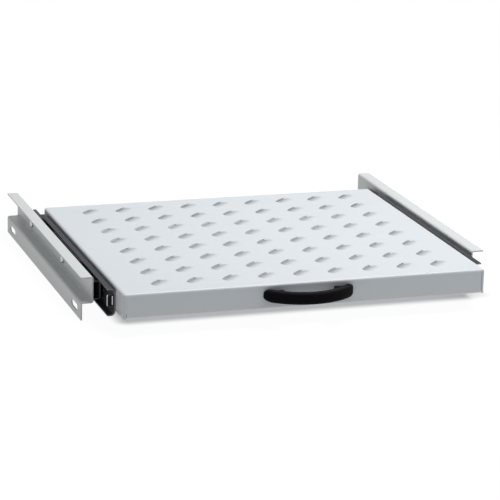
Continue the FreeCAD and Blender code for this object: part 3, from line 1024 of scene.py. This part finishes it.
def buildHandle():
    h = handleMake
    low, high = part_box("handle")
    half, wall, axis = high.x, high.y, (low.z + high.z) / 2
    reach, height = high.y - low.y, high.z - low.z
    rise = reach - h["footSide"]
    bow = (half**2 + rise**2) / (2 * rise)
    inside = bow - h["grip"]
    footInner = half - h["footLength"]
    made = bmesh.new()
    rings = []
    for i in range(h["slices"]):
        x = half * math.sin(math.pi / 2 * (2 * i / (h["slices"] - 1) - 1)) * h["endReach"]
        away = abs(x)
        front = reach - bow + math.sqrt(bow**2 - x**2)
        end = max(0, (away - half + h["endRound"]) / h["endRound"])
        front = max(front * math.sqrt(max(1 - end**h["endBlunt"], 0)), h["thinnest"])
        back = reach - bow + math.sqrt(max(inside**2 - x**2, 0))
        back = min(max(back, 0), front - h["thinnest"] / 2)
        taper = max(0, (away - half + h["endTaper"]) / h["endTaper"])**h["taperBlunt"]
        tall = height * (h["endTip"] + (1 - h["endTip"]) * max(1 - taper, 0)**(1 / h["taperBlunt"]))
        foot = back * (1 - smooth((away - footInner) / h["footStep"] + 0.5))  # a step about the inner end
        ring = gripRing(front, back, foot, tall)
        rings.append([made.verts.new((x, wall - p.x, axis + p.y)) for p in ring])
    for left, right in zip(rings, rings[1:]):
        bridge(made, left, right)
    made.faces.new(rings[0])
    made.faces.new(rings[-1][::-1])
    bmesh.ops.recalc_face_normals(made, faces=made.faces)
    piece = placePiece("handleMoulded", made, handleBlack, "tray", ["handle"])
    keepSharp(piece, h["sharpFrom"])


buildHandle()
print("handle moulded")


stageMake = dict(
    size=14, worldLight=0.18, worldTint=(0.97, 0.985, 1),
    bounce=dict(paper=0.4, glow=0.24),  # what the floor gives back to the shelf
    paintedShadow=dict(paper=0.62, glow=0.31),  # painted shadow patch under the tray: it glows less, and its diffuse part keeps the real shadow
    open=dict(paper=0.1, glow=0.95),  # and around it
    far=dict(paper=0.0, glow=1.0),
    # place and soft edge of the painted shadow patch: the tray's footprint, shifted right and to the rear
    shadeShift=(20 * mm, 56 * mm), shadeFade=20 * mm, farFrom=0.4, farTo=0.7,
)


def backdropShare(wire):  # 1 where a ray shows the backdrop itself, straight, mirrored or through glass
    names = ("Is Camera Ray", "Is Glossy Ray", "Is Transmission Ray")
    camera, glossy, through = (wire.node("LightPath", {}, {}, name) for name in names)
    return wire.maths("MINIMUM", camera + glossy + through, 1.0)


def mixShader(wire, share, first, second):
    return wire.node("MixShader", {}, {0: share, 1: first, 2: second})


def glowingPaper(wire, paper, glow):
    dull = wire.node("BsdfDiffuse", {}, {"Color": (paper, paper, paper, 1)})
    lit = wire.node("Emission", {}, {"Color": (1, 1, 1, 1), "Strength": glow})
    return wire.node("AddShader", {}, {0: dull, 1: lit})


def floorFinish():
    m = stageMake
    finish, wire, place = newFinish("studioFloor")
    low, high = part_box("tray")
    middle = (low + high) / 2 + Vector((*m["shadeShift"], 0))
    flat = vectorMaths(wire, "MULTIPLY", vectorMaths(wire, "SUBTRACT", place, middle), (1, 1, 0))
    out = vectorMaths(wire, "SUBTRACT", vectorMaths(wire, "ABSOLUTE", flat), (high - low) / 2)
    out = vectorMaths(wire, "MAXIMUM", out, (0, 0, 0))
    beyond = vectorMaths(wire, "LENGTH", out, out=1)  # distance outside the painted shadow patch
    bounce, paintedShadow, around, distant = (
        glowingPaper(wire, **m[key]) for key in ("bounce", "paintedShadow", "open", "far")
    )
    # painted shadow: the floor glows less in the patch under the tray than around it
    nearby = mixShader(wire, softRise(wire, beyond, 0, m["shadeFade"]), paintedShadow, around)
    seen = mixShader(wire, softRise(wire, beyond, m["farFrom"], m["farTo"]), nearby, distant)
    surface = mixShader(wire, backdropShare(wire), bounce, seen)
    wire.node("OutputMaterial", {}, {"Surface": surface})
    return finish


def buildFloor():
    made = bmesh.new()
    bmesh.ops.create_grid(made, x_segments=1, y_segments=1, size=stageMake["size"] / 2)
    mesh = bpy.data.meshes.new("studioFloor")
    made.to_mesh(mesh)
    made.free()
    floor = bpy.data.objects.new("studioFloor", mesh)
    scene.collection.objects.link(floor)
    mesh.materials.append(floorFinish())


def buildWorld():
    world = bpy.data.worlds.new("studio")
    world.use_nodes = True
    world.node_tree.nodes.clear()
    wire = Wire(world.node_tree)
    tint = (*stageMake["worldTint"], 1)
    soft = wire.node("Background", {}, {"Color": tint, "Strength": stageMake["worldLight"]})
    bright = wire.node("Background", {}, {"Color": (1, 1, 1, 1), "Strength": 1.0})
    sky = mixShader(wire, backdropShare(wire), soft, bright)
    wire.node("OutputWorld", {}, {"Surface": sky})
    scene.world = world


lampMake = dict(place=(0.32, -0.1, 1.25), aim=(0, 0, 0.03), size=(1.0, 0.9), power=14.3, colour=(1, 1, 1))


def buildLamp():
    m = lampMake
    lamp = bpy.data.lights.new("overhead", "AREA")
    lamp.shape = "RECTANGLE"
    lamp.size, lamp.size_y = m["size"]
    lamp.energy = m["power"]
    lamp.color = m["colour"]
    holder = bpy.data.objects.new("overhead", lamp)
    holder.matrix_world = placeAlong(m["place"], Vector(m["place"]) - Vector(m["aim"]))
    scene.collection.objects.link(holder)


viewMake = dict(
    place=(-0.79653, -2.40581, 0.74886), heading=18.33, dip=15.93, roll=1.41,  # turns in degrees
    lens=170.72, sensor=36, nearest=0.1, furthest=50,
)


def buildCamera():
    v = viewMake
    heading, dip, roll = (math.radians(v[key]) for key in ("heading", "dip", "roll"))
    ahead = Vector((math.sin(heading) * math.cos(dip), math.cos(heading) * math.cos(dip), -math.sin(dip)))
    level = Vector((math.cos(heading), -math.sin(heading), 0))
    upright = level.cross(ahead)
    right = level * math.cos(roll) + upright * math.sin(roll)
    top = upright * math.cos(roll) - level * math.sin(roll)
    turned = Matrix((right, top, -ahead)).transposed().to_4x4()
    lens = bpy.data.cameras.new("photoView")
    lens.lens, lens.sensor_width = v["lens"], v["sensor"]
    lens.clip_start, lens.clip_end = v["nearest"], v["furthest"]
    camera = bpy.data.objects.new("photoView", lens)
    camera.matrix_world = Matrix.Translation(v["place"]) @ turned
    scene.collection.objects.link(camera)
    scene.camera = camera


buildFloor()
buildWorld()
buildLamp()
buildCamera()
scene.view_settings.view_transform = "Standard"
bpy.context.view_layer.update()
print("stage, lamp and camera set")
